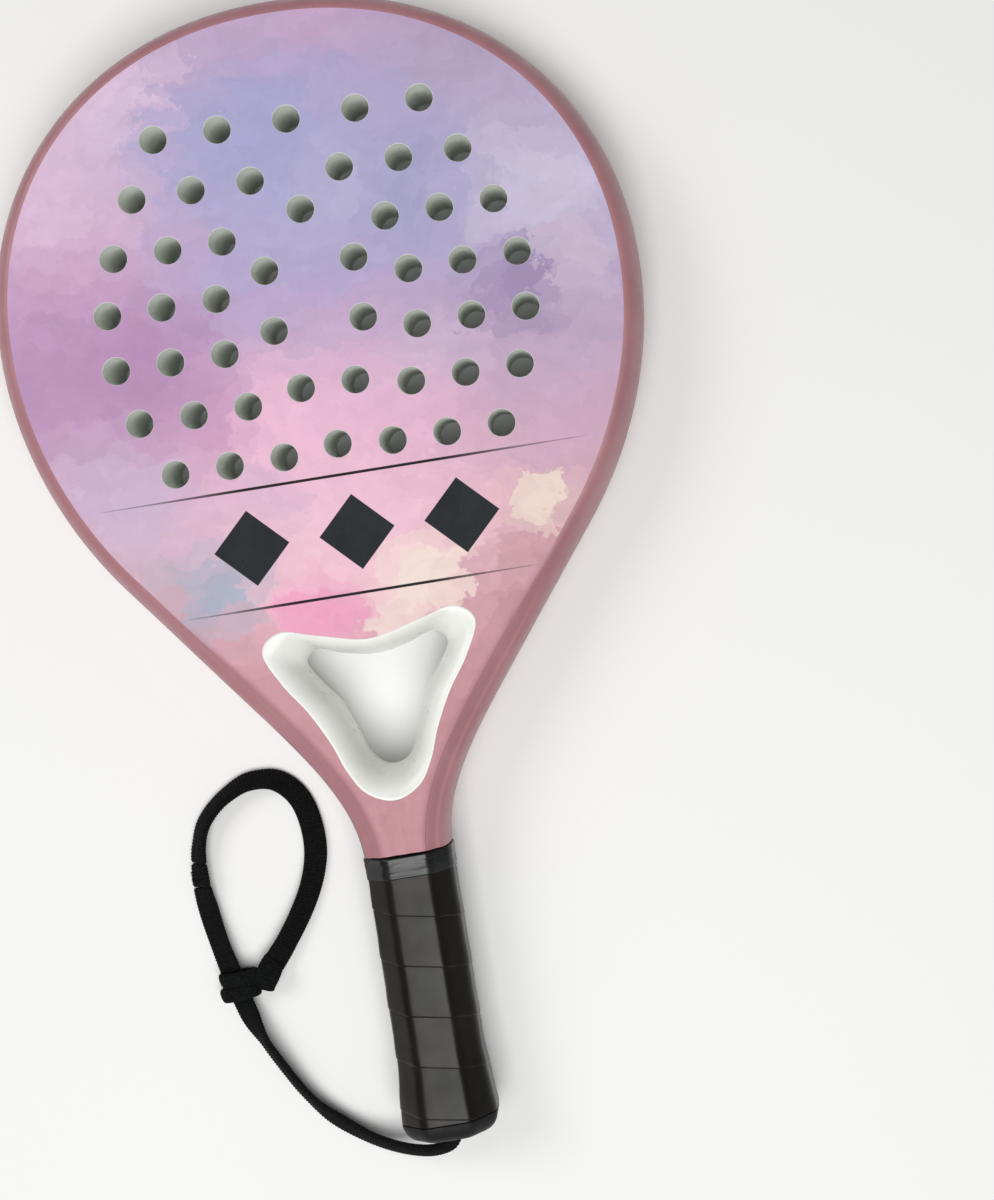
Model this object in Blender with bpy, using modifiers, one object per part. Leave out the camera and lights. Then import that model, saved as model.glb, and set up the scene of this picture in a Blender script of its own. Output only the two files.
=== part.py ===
"""Padel racket with a wrist strap, lying on its back face.

Metres, +Z up.  The long axis is Y with the head towards +Y, X runs across the
face and Z through the thickness.  The origin is the centre of the racket's
footprint, on the surface that it lies on.
"""
import math

import bmesh
import bpy
from mathutils import Matrix, Vector

# ---- driving dimensions ----
LENGTH = 0.455
THICKNESS = 0.038
HEAD_HALF_WIDTH = 0.128
HEAD_CENTRE_Y = 0.104
HEAD_SQUARENESS = 2.11
COLLAR_HALF_WIDTH = 0.0175
COLLAR_Y = -0.1125
GAP = 0.0003

SKIN_THICKNESS = 0.0012
RIM_WIDTH = 0.0084
TUBE_WIDTH = 0.0110
SKIN_SEAT = 0.0175
CORE_END_Y = -0.008
BRIDGE_END_Y = -0.0300

HOLE_RADIUS = 0.0054
HOLE_SIDES = 10
HOLE_GRID_Y = 0.1016
HOLE_PITCH_X = 0.0214
HOLE_PITCH_Y = 0.02165

GRIP_HALF_WIDTH = 0.0172
GRIP_HALF_HEIGHT = 0.0158
GRIP_FLAT = 0.0084
OVERGRIP = 0.0008
BASE_GRIP = 0.0015
FLARE = 0.0018
HANDLE_END_Y = -0.2135
GRIP_END_Y = -0.2195
TAPE_WIDTH = 0.0088
LEG_INNER = 0.0030
LEG_OUTER = 0.0110
LEG_HALF_HEIGHT = 0.0085

STRAP_RADIUS = 0.0032
KNOT_SIZE = (0.0210, 0.0130, 0.0106)
KNOT_CLEARANCE = 0.0011
KNOT_CENTRE = Vector((-0.0764, -0.1590, 0.0056))
KNOT_LEAD = Vector((-0.0796, -0.1598, 0.0056))
LEAD_HEADING = Vector((-0.243, 0.970, 0.0))
BARTACK_CENTRE = Vector((-0.0876, -0.1132, 0.0034))
BARTACK_SIZE = (0.0092, 0.0080, 0.0062)

HALF = THICKNESS / 2
TOP_Y = LENGTH / 2
BUTT_Y = -LENGTH / 2

# Half outlines of the throat opening, crown to heel: at the faces and at the waist.
THROAT_FACE = [(0.0, -0.0272), (0.0195, -0.0230), (0.0341, -0.0196), (0.0421, -0.0262),
               (0.0367, -0.0394), (0.0280, -0.0523), (0.0210, -0.0659), (0.0168, -0.0770),
               (0.0105, -0.0868), (0.0, -0.0912)]
THROAT_WAIST = [(0.0, -0.0343), (0.0125, -0.0323), (0.0228, -0.0290), (0.0284, -0.0338),
                (0.0232, -0.0432), (0.0170, -0.0515), (0.0122, -0.0637), (0.0092, -0.0722),
                (0.0050, -0.0772), (0.0, -0.0788)]
THROAT_STEPS = 4

# Strap centre lines, as the strap lies.
LEAD_ROUTE = [(0.0, -0.2235, 0.0190), (0.0, -0.2262, 0.0190), (0.0, -0.2290, 0.0188),
              (-0.0030, -0.2330, 0.0178), (-0.0105, -0.2350, 0.0150), (-0.0210, -0.2340, 0.0105),
              (-0.0325, -0.2303, 0.0062), (-0.0430, -0.2240, 0.0040), (-0.0520, -0.2163, 0.0034),
              (-0.0592, -0.2070, 0.0036), (-0.0652, -0.1963, 0.0045), (-0.0709, -0.1850, 0.0053),
              (-0.0761, -0.1728, 0.0056), (-0.0796, -0.1598, 0.0056), (-0.0827, -0.1475, 0.0052),
              (-0.0854, -0.1352, 0.0040), (-0.0870, -0.1250, 0.0035), (-0.0877, -0.1181, 0.0034)]
LOOP_ROUTE = [(-0.0874, -0.1083, 0.0034), (-0.0864, -0.1023, 0.0034), (-0.0836, -0.0940, 0.0034),
              (-0.0785, -0.0876, 0.0034), (-0.0715, -0.0824, 0.0034), (-0.0628, -0.0787, 0.0034),
              (-0.0531, -0.0791, 0.0034), (-0.0463, -0.0838, 0.0034), (-0.0417, -0.0915, 0.0034),
              (-0.0397, -0.1025, 0.0034), (-0.0403, -0.1134, 0.0034), (-0.0438, -0.1243, 0.0036),
              (-0.0498, -0.1352, 0.0042), (-0.0572, -0.1456, 0.0050), (-0.0644, -0.1542, 0.0056)]


# ---- scene and materials ----

def clear_scene():
    for old in list(bpy.data.objects):
        bpy.data.objects.remove(old, do_unlink=True)


def collection(name):
    made = bpy.data.collections.new(name)
    bpy.context.scene.collection.children.link(made)
    return made


def material(name, colour, roughness, metallic=0.0):
    made = bpy.data.materials.new(name)
    made.use_nodes = True
    shader = made.node_tree.nodes["Principled BSDF"]
    shader.inputs["Base Color"].default_value = (*colour, 1.0)
    shader.inputs["Roughness"].default_value = roughness
    shader.inputs["Metallic"].default_value = metallic
    return made


def place(name, data, group, finish, smooth_angle=None):
    """Link a mesh or curve as a named object with its finish."""
    data.materials.append(finish)
    if smooth_angle is not None:
        data.shade_smooth()
        data.set_sharp_from_angle(angle=math.radians(smooth_angle))
    made = bpy.data.objects.new(name, data)
    group.objects.link(made)
    return made


# ---- plane geometry ----

def bezier(start, pull_start, pull_end, end, steps):
    """Points of one cubic span, without its first point."""
    points = []
    for index in range(1, steps + 1):
        t = index / steps
        s = 1.0 - t
        weights = (s ** 3, 3 * s * s * t, 3 * s * t * t, t ** 3)
        corners = (start, pull_start, pull_end, end)
        points.append(sum((w * Vector(p) for w, p in zip(weights, corners)), Vector((0, 0))))
    return points


def racket_half():
    """Silhouette of the +X half, from the crown to the collar."""
    rise = TOP_Y - HEAD_CENTRE_Y
    power = 2.0 / HEAD_SQUARENESS
    arc_steps = 15
    points = []
    for index in range(arc_steps + 1):
        angle = 0.5 * math.pi * index / arc_steps
        across = HEAD_HALF_WIDTH * math.sin(angle) ** power
        along = rise * max(math.cos(angle), 0.0) ** power
        points.append(Vector((across, HEAD_CENTRE_Y + along)))
    shoulder = (0.0925, 0.0043)
    arm = (0.0480, -0.0530)
    points += bezier(points[-1], (0.128, 0.066), (0.113, 0.0305), shoulder, 9)
    points += bezier(shoulder, (0.078, -0.0143), (0.063, -0.0335), arm, 4)
    collar = (COLLAR_HALF_WIDTH, COLLAR_Y)
    points += bezier(arm, (0.0290, -0.0775), (0.0185, -0.0940), collar, 8)
    return points


def inset_half(half, distance):
    """The half silhouette moved inwards; its ends stay on the axis and at the collar."""
    moved = []
    last = len(half) - 1
    for index, point in enumerate(half):
        if index == 0:
            inward = Vector((0.0, -1.0))
        elif index == last:
            inward = Vector((-1.0, 0.0))
        else:
            run = (half[index + 1] - half[index - 1]).normalized()
            inward = Vector((run.y, -run.x))
        moved.append(point + distance * inward)
    return moved


def mirrored(half):
    """Closed outline from a half that runs from the axis down the +X side."""
    other = [Vector((-p.x, p.y)) for p in reversed(half) if p.x > GAP]
    return list(half) + other


def smooth_closed(points, steps):
    """Catmull-Rom curve through a closed list of points."""
    count = len(points)
    curve = []
    for index in range(count):
        a, b, c, d = (Vector(points[(index + k - 1) % count]) for k in range(4))
        for step in range(steps):
            t = step / steps
            curve.append(0.5 * (2 * b + (c - a) * t + (2 * a - 5 * b + 4 * c - d) * t * t
                                + (3 * b - a - 3 * c + d) * t ** 3))
    return curve


def grown(points, distance):
    """A closed, clockwise outline moved outwards along its normals."""
    count = len(points)
    moved = []
    for index, point in enumerate(points):
        run = (points[(index + 1) % count] - points[index - 1]).normalized()
        moved.append(point + distance * Vector((-run.y, run.x)))
    return moved


def throat_outline(half):
    return smooth_closed(mirrored([Vector(p) for p in half]), THROAT_STEPS)


def circle(centre, radius, sides):
    turn = 2 * math.pi / sides
    spots = [(math.cos(turn * i), math.sin(turn * i)) for i in range(sides)]
    return [Vector((centre[0] + radius * c, centre[1] + radius * s)) for c, s in spots]


def hole_centres():
    """The drilled pattern in pitches: seven rows, and the holes that fill the middle."""
    rows = {3.5: (0.0, 1.27, 2.45), 2.5: (0.82, 1.91, 3.0), 1.5: (1.5, 2.5, 3.5),
            0.5: (1.77, 2.77, 3.77), -0.5: (1.77, 2.77, 3.77), -1.5: (1.5, 2.5, 3.5),
            -2.5: (1.0, 2.0, 3.0)}
    spots = [(across, row) for row, steps in rows.items() for across in steps]
    spots += [(0.0, 1.86), (0.82, 0.86), (0.82, -0.23), (0.5, -1.32), (0.0, -2.41)]
    centres = []
    for across, row in spots:
        x = across * HOLE_PITCH_X
        y = HOLE_GRID_Y + row * HOLE_PITCH_Y
        centres.append((x, y))
        if across > 0.0:
            centres.append((-x, y))
    return centres


# ---- solids ----

def plate(name, outlines, low, high, group, finish):
    """A flat plate with openings, between two heights."""
    data = bpy.data.curves.new(name, "CURVE")
    data.dimensions = "2D"
    data.fill_mode = "BOTH"
    data.extrude = (high - low) / 2
    for outline in outlines:
        spline = data.splines.new("POLY")
        spline.points.add(len(outline) - 1)
        spline.points.foreach_set("co", [v for p in outline for v in (p.x, p.y, 0.0, 1.0)])
        spline.use_cyclic_u = True
    made = place(name, data, group, finish)
    made.location.z = (low + high) / 2
    return made


def loft(name, rings, group, finish, closed=False, caps=True, smooth_angle=30):
    """A skin through rings of equal length, capped, or closed into a loop of rings."""
    mesh = bmesh.new()
    rows = [[mesh.verts.new(point) for point in ring] for ring in rings]
    pairs = list(zip(rows, rows[1:]))
    if closed:
        pairs.append((rows[-1], rows[0]))
    for near, far in pairs:
        for index in range(len(near)):
            after = (index + 1) % len(near)
            mesh.faces.new((near[index], near[after], far[after], far[index]))
    if caps and not closed:
        mesh.faces.new(rows[0][::-1])
        mesh.faces.new(rows[-1])
    if closed or caps:
        bmesh.ops.recalc_face_normals(mesh, faces=mesh.faces)
    data = bpy.data.meshes.new(name)
    mesh.to_mesh(data)
    mesh.free()
    return place(name, data, group, finish, smooth_angle)


def tube(name, route, radius, group, finish):
    """A round cord along a smooth curve through its route's points."""
    points = [Vector(p) for p in route]
    points.insert(0, 2 * points[0] - points[1])
    points.append(2 * points[-1] - points[-2])
    steps = 2
    path = []
    for a, b, c, d in zip(points, points[1:], points[2:], points[3:]):
        for step in range(steps):
            t = step / steps
            path.append(0.5 * (2 * b + (c - a) * t + (2 * a - 5 * b + 4 * c - d) * t * t
                               + (3 * b - a - 3 * c + d) * t ** 3))
    path.append(points[-2])
    data = bpy.data.curves.new(name, "CURVE")
    data.dimensions = "3D"
    data.bevel_depth = radius
    data.bevel_resolution = 2
    data.use_fill_caps = True
    spline = data.splines.new("POLY")
    spline.points.add(len(path) - 1)
    spline.points.foreach_set("co", [v for p in path for v in (*p, 1.0)])
    return place(name, data, group, finish)


def rounded_block(name, size, bevel, group, finish):
    """A box with rounded edges, centred on its own origin."""
    mesh = bmesh.new()
    bmesh.ops.create_cube(mesh, size=1.0, matrix=Matrix.Diagonal((*size, 1.0)))
    bmesh.ops.bevel(mesh, geom=mesh.edges, offset=bevel, segments=3, profile=0.5,
                    affect="EDGES")
    data = bpy.data.meshes.new(name)
    mesh.to_mesh(data)
    mesh.free()
    return place(name, data, group, finish, 40)


# ---- the head ----

def tube_section():
    """(inset, height) points of the frame tube, front to back on the outer side."""
    front = [(RIM_WIDTH, HALF), (0.0079, HALF), (0.0044, HALF - 0.0036), (0.0027, HALF - 0.0056),
             (0.0008, 0.0090), (0.0, 0.0030)]
    back = [(inset, -height) for inset, height in reversed(front)]
    inner = [(RIM_WIDTH, -SKIN_SEAT), (TUBE_WIDTH, -SKIN_SEAT),
             (TUBE_WIDTH, SKIN_SEAT), (RIM_WIDTH, SKIN_SEAT)]
    return front + back + inner


def frame_tube(half, group, finish):
    """Hoop, throat arms and the two legs that run down inside the handle."""
    section = tube_section()
    insets = {inset: inset_half(half, inset) for inset, _ in section}
    rings = []
    for index in range(len(half)):
        rings.append([(*insets[inset][index], HALF + height) for inset, height in section])
    for y in (COLLAR_Y - GAP / 2, HANDLE_END_Y + GAP):
        ring = []
        for inset, height in section:
            across = LEG_OUTER - (LEG_OUTER - LEG_INNER) * inset / TUBE_WIDTH
            tall = math.copysign(min(abs(height) * LEG_HALF_HEIGHT / SKIN_SEAT, LEG_HALF_HEIGHT),
                                 height)
            ring.append((across, y, HALF + tall))
        rings.append(ring)
    made = loft("frame_tube", rings, group, finish, caps=False, smooth_angle=35)
    fill_far_end(made, len(section))
    mirror = made.modifiers.new("other_side", "MIRROR")
    mirror.merge_threshold = 0.0001
    return made


def fill_far_end(obj, ring_size):
    """Close the last ring of an open loft and turn all faces outwards."""
    mesh = bmesh.new()
    mesh.from_mesh(obj.data)
    mesh.verts.ensure_lookup_table()
    mesh.faces.new(mesh.verts[-ring_size:])
    bmesh.ops.recalc_face_normals(mesh, faces=mesh.faces)
    mesh.to_mesh(obj.data)
    mesh.free()


def skin(name, low, high, half, group, finish):
    """Printed face sheet, let into the frame, drilled and cut for the throat."""
    edge = mirrored(inset_half(half, RIM_WIDTH + GAP))
    outlines = [edge, grown(throat_outline(THROAT_FACE), GAP)]
    outlines += [circle(spot, HOLE_RADIUS, HOLE_SIDES) for spot in hole_centres()]
    return plate(name, outlines, low, high, group, finish)


def eva_core(half, group, finish):
    """Foam slab inside the hoop."""
    wall = [p for p in inset_half(half, TUBE_WIDTH + GAP) if p.y > CORE_END_Y]
    edge = mirrored(wall)
    outlines = [edge] + [circle(spot, HOLE_RADIUS, HOLE_SIDES) for spot in hole_centres()]
    seat = SKIN_SEAT - GAP
    return plate("eva_core", outlines, HALF - seat, HALF + seat, group, finish)


# ---- the throat ----

def crossing(points, y):
    """Where a line that runs towards the butt passes a given y."""
    for above, below in zip(points, points[1:]):
        if above.y >= y > below.y:
            return above.lerp(below, (above.y - y) / (above.y - below.y))
    return points[-1]


def throat_hole_half():
    outline = grown(throat_outline(THROAT_FACE), GAP)
    return outline[:(len(THROAT_FACE) - 1) * THROAT_STEPS + 1]


def throat_bridge(half, group, finish):
    """Cross tube between the arms, above the throat opening."""
    wall = inset_half(half, TUBE_WIDTH + GAP)
    hole = throat_hole_half()
    top = CORE_END_Y - GAP
    edge = [Vector((0.0, top)), crossing(wall, top)]
    edge += [p for p in wall if BRIDGE_END_Y < p.y < top]
    edge += [crossing(wall, BRIDGE_END_Y), crossing(hole, BRIDGE_END_Y)]
    edge += [p for p in reversed(hole) if p.y > BRIDGE_END_Y]
    seat = SKIN_SEAT - GAP
    return plate("throat_bridge", [mirrored(edge)], HALF - seat, HALF + seat, group, finish)


def throat_heel(half, group, finish):
    """Filler between the arms, beside and below the throat opening."""
    wall = inset_half(half, TUBE_WIDTH + GAP)
    hole = throat_hole_half()
    top = BRIDGE_END_Y - GAP
    end = COLLAR_Y + GAP
    edge = [p for p in reversed(hole) if p.y < top]
    edge += [crossing(hole, top), crossing(wall, top)]
    edge += [p for p in wall if end < p.y < top]
    edge.append(Vector((wall[-1].x, end)))
    seat = SKIN_SEAT - GAP
    return plate("throat_heel", [mirrored(edge)], HALF - seat, HALF + seat, group, finish)


def throat_insert(name, side, group, finish):
    """One half of the moulded surround: a rounded funnel from the face to the waist."""
    face = throat_outline(THROAT_FACE)
    waist = throat_outline(THROAT_WAIST)
    lip_drop = 0.0005
    steps = 5
    profile = [(0.0, GAP / 2), (0.0, HALF - lip_drop)]
    for index in range(steps):
        angle = 0.5 * math.pi * (index + 0.15) / steps
        profile.append((math.sin(angle), HALF * math.cos(angle)))
    profile.append((1.0, GAP / 2))
    rings = []
    for share, height in profile:
        flat = [outer.lerp(inner, share) for outer, inner in zip(face, waist)]
        rings.append([(*point, HALF + side * height) for point in flat])
    return loft(name, rings, group, finish, closed=True, smooth_angle=45)


# ---- the handle ----

def grip_quarter(half_width, half_height):
    """Quarter of the eight-sided grip section, with its corners cut."""
    flat = GRIP_FLAT * half_width / GRIP_HALF_WIDTH
    side = 0.45 * half_height
    low = Vector((half_width, side))
    high = Vector((flat, half_height))
    cut = 0.0012 * (high - low).normalized()
    return [low - Vector((0.0, cut.length)), low + cut, high - cut,
            high - Vector((cut.length, 0.0))]


def grip_ring(y, half_width, half_height):
    quarter = grip_quarter(half_width, half_height)
    points = quarter + [Vector((-p.x, p.y)) for p in reversed(quarter)]
    points += [Vector((-p.x, -p.y)) for p in quarter]
    points += [Vector((p.x, -p.y)) for p in reversed(quarter)]
    return [(p.x, y, HALF + p.y) for p in points]


def round_ring(y, radius):
    """A round ring whose points face those of a grip ring."""
    ring = []
    for x, _, z in grip_ring(y, GRIP_HALF_WIDTH, GRIP_HALF_HEIGHT):
        direction = Vector((x, z - HALF)).normalized()
        ring.append((radius * direction.x, y, HALF + radius * direction.y))
    return ring


def sleeve(name, stations, thickness, group, finish):
    """An open-ended sleeve round the handle; stations are (y, outward growth)."""
    outer = []
    inner = []
    for y, growth in stations:
        width = GRIP_HALF_WIDTH + growth
        height = GRIP_HALF_HEIGHT + growth
        outer.append(grip_ring(y, width, height))
        inner.append(grip_ring(y, width - thickness, height - thickness))
    return loft(name, outer + inner[::-1], group, finish, closed=True)


def handle_pallet(name, side, group, finish):
    """Half of the moulded handle body, hollowed for the frame tube's legs."""
    depth = OVERGRIP + BASE_GRIP + 2 * GAP
    quarter = grip_quarter(GRIP_HALF_WIDTH - depth, GRIP_HALF_HEIGHT - depth)
    arch = quarter + [Vector((-p.x, p.y)) for p in reversed(quarter)]
    split = GAP / 2
    leg_x = LEG_OUTER + GAP
    leg_z = LEG_HALF_HEIGHT + GAP
    outline = [Vector((arch[0].x, split)), *arch, Vector((arch[-1].x, split)),
               Vector((-leg_x, split)), Vector((-leg_x, leg_z)), Vector((leg_x, leg_z)),
               Vector((leg_x, split))]
    rings = []
    for y in (COLLAR_Y - 2 * GAP, HANDLE_END_Y):
        rings.append([(p.x, y, HALF + side * p.y) for p in outline])
    return loft(name, rings, group, finish)


def handle_filler(group, finish):
    """Foam strip between the two legs."""
    start = COLLAR_Y - 2 * GAP
    size = (2 * (LEG_INNER - GAP), start - HANDLE_END_Y, 2 * LEG_HALF_HEIGHT)
    made = rounded_block("handle_filler", size, 0.0004, group, finish)
    made.location = (0.0, (start + HANDLE_END_Y) / 2, HALF)
    return made


def butt_cap(group, finish):
    """End cap: a neck under the grip, a rounded end, and a pocket with the strap hole."""
    neck = 0.0002
    wall = 0.0034
    hole = STRAP_RADIUS + 0.0004
    top = HANDLE_END_Y - GAP
    floor = BUTT_Y + 0.0037
    edge = GRIP_END_Y - GAP
    width = GRIP_HALF_WIDTH
    height = GRIP_HALF_HEIGHT
    rings = [grip_ring(top, width + neck, height + neck),
             grip_ring(edge + GAP / 2, width + neck, height + neck)]
    steps = 5
    for index in range(steps + 1):
        angle = 0.5 * math.pi * index / steps
        shrink = 0.0065 * (1 - math.cos(angle)) - FLARE
        y = edge + (BUTT_Y - edge) * math.sin(angle)
        rings.append(grip_ring(y, width - shrink, height - shrink))
    rings += [round_ring(BUTT_Y, hole), round_ring(floor, hole)]
    rings += [grip_ring(y, width + neck - wall, height + neck - wall) for y in (floor, top)]
    return loft("butt_cap", rings, group, finish, closed=True)


# ---- the wrist strap ----

def strap_knot(group, cutters, finish):
    """Slip knot that slides along the lead, which runs through it."""
    made = rounded_block("strap_knot", KNOT_SIZE, 0.0030, group, finish)
    turn = Vector((0.0, 1.0, 0.0)).rotation_difference(LEAD_HEADING)
    made.rotation_mode = "QUATERNION"
    made.rotation_quaternion = turn
    made.location = KNOT_CENTRE
    mesh = bmesh.new()
    along = Matrix.Rotation(math.pi / 2, 4, "X")
    bmesh.ops.create_cone(mesh, cap_ends=True, segments=16, radius1=STRAP_RADIUS + KNOT_CLEARANCE,
                          radius2=STRAP_RADIUS + KNOT_CLEARANCE, depth=2 * KNOT_SIZE[1], matrix=along)
    data = bpy.data.meshes.new("lead_channel")
    mesh.to_mesh(data)
    mesh.free()
    cutter = bpy.data.objects.new("lead_channel", data)
    cutters.objects.link(cutter)
    cutter.hide_render = True
    cutter.display_type = "WIRE"
    cutter.rotation_mode = "QUATERNION"
    cutter.rotation_quaternion = turn
    cutter.location = KNOT_LEAD
    cut = made.modifiers.new("lead_channel", "BOOLEAN")
    cut.object = cutter
    return made


def wrist_strap(group, cutters, webbing):
    """Anchor in the cap, lead, sewn joint, loop and slip knot."""
    anchor = rounded_block("strap_anchor", (0.0140, 0.0040, 0.0090), 0.0010, group, webbing)
    anchor.location = (0.0, LEAD_ROUTE[0][1] + GAP + 0.0020, HALF)
    tube("strap_lead", LEAD_ROUTE, STRAP_RADIUS, group, webbing)
    joint = rounded_block("strap_bartack", BARTACK_SIZE, 0.0015, group, webbing)
    joint.location = BARTACK_CENTRE
    tube("strap_loop", LOOP_ROUTE, STRAP_RADIUS, group, webbing)
    strap_knot(group, cutters, webbing)


# ---- assembly ----

def build():
    clear_scene()
    group = collection("padel_racket")
    cutters = collection("cutters")
    rose = material("rose_lacquer", (0.48, 0.22, 0.24), 0.35)
    print_film = material("printed_face", (0.58, 0.36, 0.52), 0.40)
    foam = material("grey_foam", (0.24, 0.26, 0.24), 0.90)
    resin = material("resin_filler", (0.10, 0.10, 0.11), 0.60)
    gloss_white = material("gloss_white", (0.82, 0.82, 0.79), 0.18)
    grip_foam = material("grip_cushion", (0.05, 0.05, 0.05), 0.90)
    grip_black = material("grip_tape", (0.02, 0.02, 0.02), 0.55)
    gloss_tape = material("gloss_tape", (0.02, 0.02, 0.02), 0.25)
    cap_rubber = material("cap_rubber", (0.015, 0.015, 0.015), 0.60)
    webbing = material("black_webbing", (0.012, 0.012, 0.013), 0.85)

    half = racket_half()
    frame_tube(half, group, rose)
    eva_core(half, group, foam)
    throat_bridge(half, group, resin)
    throat_heel(half, group, resin)
    skin("front_skin", THICKNESS - SKIN_THICKNESS, THICKNESS, half, group, print_film)
    skin("back_skin", 0.0, SKIN_THICKNESS, half, group, print_film)
    throat_insert("throat_insert_front", 1, group, gloss_white)
    throat_insert("throat_insert_back", -1, group, gloss_white)

    handle_pallet("handle_pallet_front", 1, group, resin)
    handle_pallet("handle_pallet_back", -1, group, resin)
    handle_filler(group, foam)
    start = COLLAR_Y - 3 * GAP
    inner_growth = -OVERGRIP - GAP
    sleeve("base_grip", [(start, inner_growth), (HANDLE_END_Y, inner_growth)], BASE_GRIP,
           group, grip_foam)
    flare = [(start, 0.0), (-0.1960, 0.0), (-0.2120, 0.75 * FLARE), (GRIP_END_Y, FLARE)]
    sleeve("overgrip", flare, OVERGRIP, group, grip_black)
    tape_growth = 2 * GAP + 0.0002
    sleeve("finishing_tape", [(start, tape_growth), (start - TAPE_WIDTH, tape_growth)],
           tape_growth - GAP, group, gloss_tape)
    butt_cap(group, cap_rubber)
    wrist_strap(group, cutters, webbing)


build()
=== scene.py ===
"""Looks of the padel racket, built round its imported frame.  Metres, +Z up, head towards +Y."""
import math

import bmesh
import bpy
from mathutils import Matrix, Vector, noise


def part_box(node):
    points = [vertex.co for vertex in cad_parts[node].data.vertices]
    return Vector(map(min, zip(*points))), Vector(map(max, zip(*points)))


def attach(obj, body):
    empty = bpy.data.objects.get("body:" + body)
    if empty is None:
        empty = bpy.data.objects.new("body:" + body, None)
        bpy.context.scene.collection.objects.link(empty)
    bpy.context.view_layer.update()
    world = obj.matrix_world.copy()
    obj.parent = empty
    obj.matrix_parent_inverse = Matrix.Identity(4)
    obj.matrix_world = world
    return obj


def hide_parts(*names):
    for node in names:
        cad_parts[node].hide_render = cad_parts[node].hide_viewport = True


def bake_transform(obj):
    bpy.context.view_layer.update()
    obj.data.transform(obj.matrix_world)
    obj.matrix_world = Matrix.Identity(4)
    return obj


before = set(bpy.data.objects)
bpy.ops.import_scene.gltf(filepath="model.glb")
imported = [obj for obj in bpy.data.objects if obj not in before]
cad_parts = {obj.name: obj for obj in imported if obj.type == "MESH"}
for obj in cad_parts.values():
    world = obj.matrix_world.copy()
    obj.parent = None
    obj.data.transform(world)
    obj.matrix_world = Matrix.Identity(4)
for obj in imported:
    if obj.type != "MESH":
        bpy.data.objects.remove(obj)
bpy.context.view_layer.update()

# ---- sizes, from the frame ----
TUBE_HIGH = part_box("frame_tube")[1]
SKIN_LOW, SKIN_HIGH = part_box("front_skin")
CAP_LOW, CAP_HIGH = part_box("butt_cap")
WRAP_LOW, WRAP_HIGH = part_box("overgrip")
TAPE_LOW, TAPE_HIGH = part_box("finishing_tape")
KNOT_LOW, KNOT_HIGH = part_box("strap_knot")
SEAM_LOW, SEAM_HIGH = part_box("strap_bartack")

THICKNESS = TUBE_HIGH.z
MID = THICKNESS / 2
HALF_WIDTH = TUBE_HIGH.x
CROWN_Y = TUBE_HIGH.y
BUTT_Y = CAP_LOW.y
COLLAR_Y = SKIN_LOW.y
SKIN = SKIN_HIGH.z - SKIN_LOW.z

# ---- outline of the racket, by the same rules as the frame's ----
HEAD_CENTRE_Y = 0.104
SQUARENESS = 2.11
COLLAR_HALF = 0.0175
SHOULDER = (0.0925, 0.0043)
ARM = (0.0480, -0.0530)
RIM = 0.0084
SEAT = 0.0110
GAP = 0.0003
HOLE_RADIUS = 0.0054
HOLE_GRID_Y = 0.1016
PITCH_X = 0.0214
PITCH_Y = 0.02165
GRIP_HALF_WIDTH = 0.0172
GRIP_HALF_HEIGHT = 0.0158
GRIP_FLAT = 0.0084
GRIP_FLARE = 0.0018

# Half outlines of the throat opening, at the faces and at the waist.
THROAT_FACE = [(0.0, -0.0272), (0.0195, -0.0230), (0.0341, -0.0196), (0.0421, -0.0262),
               (0.0367, -0.0394), (0.0280, -0.0523), (0.0210, -0.0659), (0.0168, -0.0770),
               (0.0105, -0.0868), (0.0, -0.0912)]
THROAT_WAIST = [(0.0, -0.0343), (0.0125, -0.0323), (0.0228, -0.0290), (0.0284, -0.0338),
                (0.0232, -0.0432), (0.0170, -0.0515), (0.0122, -0.0637), (0.0092, -0.0722),
                (0.0050, -0.0772), (0.0, -0.0788)]

# ---- the strap's facts and route ----
WEBBING_WIDTH = 0.0090
WEBBING_THICKNESS = 0.0027
LEAD_ROUTE = [(0.0, -0.2235, 0.0190), (0.0, -0.2262, 0.0190), (0.0, -0.2290, 0.0188),
              (-0.0030, -0.2330, 0.0178), (-0.0105, -0.2350, 0.0150), (-0.0210, -0.2340, 0.0105),
              (-0.0325, -0.2303, 0.0062), (-0.0430, -0.2240, 0.0040), (-0.0520, -0.2163, 0.0034),
              (-0.0592, -0.2070, 0.0036), (-0.0652, -0.1963, 0.0045), (-0.0709, -0.1850, 0.0053),
              (-0.0761, -0.1728, 0.0056), (-0.0796, -0.1598, 0.0056), (-0.0827, -0.1475, 0.0052),
              (-0.0854, -0.1352, 0.0040), (-0.0870, -0.1250, 0.0035), (-0.0877, -0.1181, 0.0034)]
LOOP_ROUTE = [(-0.0874, -0.1083, 0.0034), (-0.0864, -0.1023, 0.0034), (-0.0836, -0.0940, 0.0034),
              (-0.0785, -0.0876, 0.0034), (-0.0715, -0.0824, 0.0034), (-0.0628, -0.0787, 0.0034),
              (-0.0531, -0.0791, 0.0034), (-0.0463, -0.0838, 0.0034), (-0.0417, -0.0915, 0.0034),
              (-0.0397, -0.1025, 0.0034), (-0.0403, -0.1134, 0.0034), (-0.0438, -0.1243, 0.0036),
              (-0.0498, -0.1352, 0.0042), (-0.0572, -0.1456, 0.0050), (-0.0644, -0.1542, 0.0056)]
LEAD_HEADING = (-0.243, 0.970, 0.0)
UP = Vector((0.0, 0.0, 1.0))


# ---- small geometry helpers ----

def smoothstep(low, high, value):
    t = min(max((value - low) / (high - low), 0.0), 1.0)
    return t * t * (3.0 - 2.0 * t)


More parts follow.
